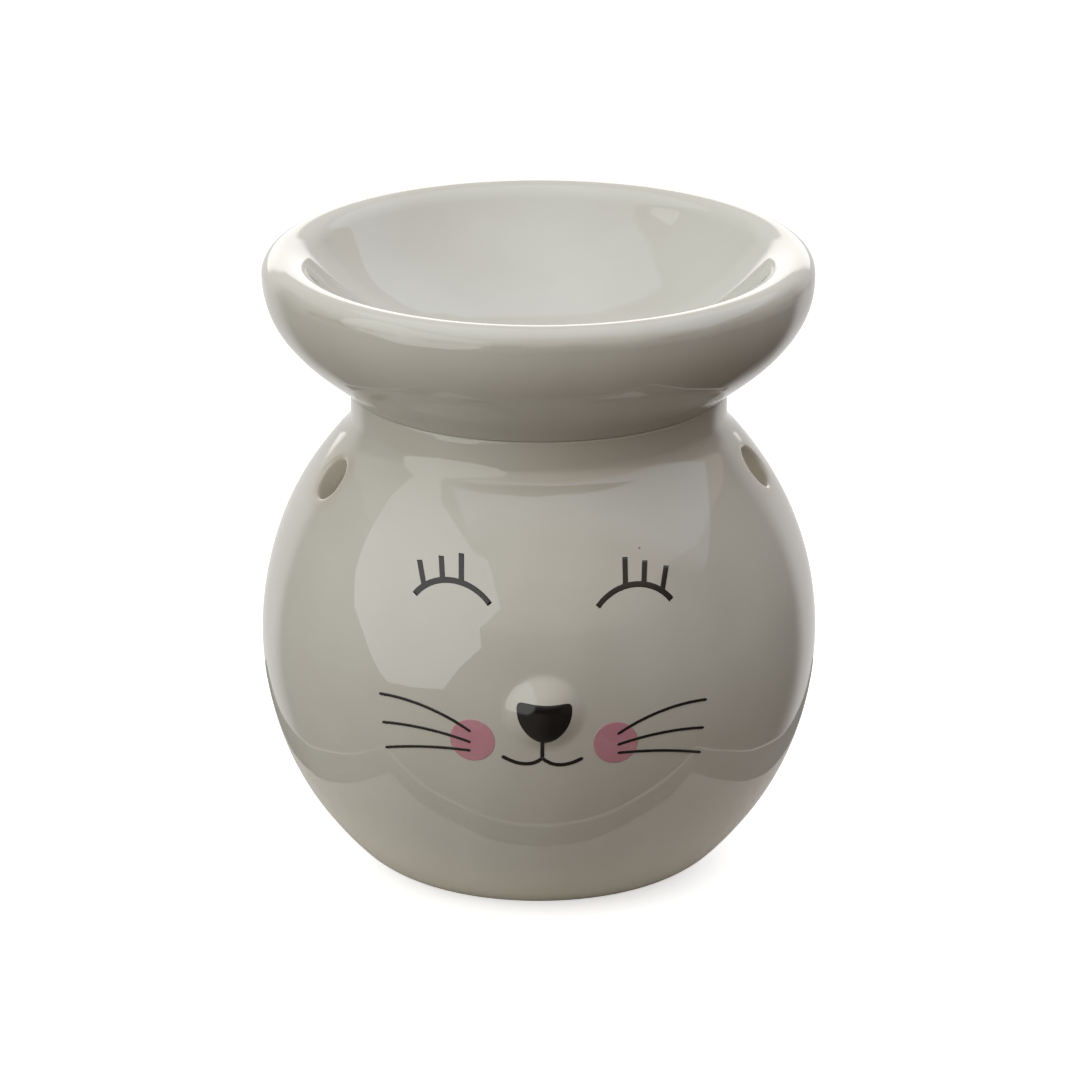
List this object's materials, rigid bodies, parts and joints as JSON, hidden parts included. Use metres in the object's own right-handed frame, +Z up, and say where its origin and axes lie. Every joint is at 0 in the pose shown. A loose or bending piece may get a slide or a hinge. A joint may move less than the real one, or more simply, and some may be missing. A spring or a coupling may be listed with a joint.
{
  "type": "ceramic oil burner",
  "caption": "Round glazed pot with a sleepy cat's face, vent holes and a rear tealight arch, carrying a lift-off dish that warms scented oil.",
  "frame": {"origin": "centre of the flat base, on the surface that the burner stands on", "axes": "+Z up; the face looks along -Y; the tealight arch opens along +Y; +X is on the right of someone looking at the face"},
  "size_m": [0.095, 0.097, 0.1078],
  "materials": {
    "pot_glaze": "glossy warm white glaze, bare base",
    "dish_glaze": "glossy warm white glaze",
    "black_enamel": "fired black transfer, glossy",
    "pink_enamel": "fired pink transfer, glossy",
    "cup_aluminium": "thin drawn foil, satin",
    "wax": "smooth translucent paraffin wax",
    "wick_cotton": "braided waxed cotton",
    "tinplate": "stamped tinplate"
  },
  "bodies": {
    "pot": {"pot": "pot_glaze", "nose_print": "black_enamel", "mouth_print": "black_enamel", "left_eye_print": "black_enamel", "right_eye_print": "black_enamel", "left_cheek_print": "pink_enamel", "right_cheek_print": "pink_enamel", "left_upper_whisker": "black_enamel", "left_middle_whisker": "black_enamel", "left_lower_whisker": "black_enamel", "right_upper_whisker": "black_enamel", "right_middle_whisker": "black_enamel", "right_lower_whisker": "black_enamel"},
    "dish": {"oil_dish": "dish_glaze"},
    "tealight": {"tealight_cup": "cup_aluminium", "tealight_wax": "wax", "wick": "wick_cotton", "wick_sustainer": "tinplate"}
  },
  "joints": [
    {"name": "dish_lift", "type": "slide", "parent": "pot", "child": "dish", "axis": [0, 0, 1], "range_m": [0, 0.05]},
    {"name": "tealight_slide", "type": "slide", "parent": "pot", "child": "tealight", "axis": [0, 1, 0], "range_m": [0, 0.08]}
  ]
}
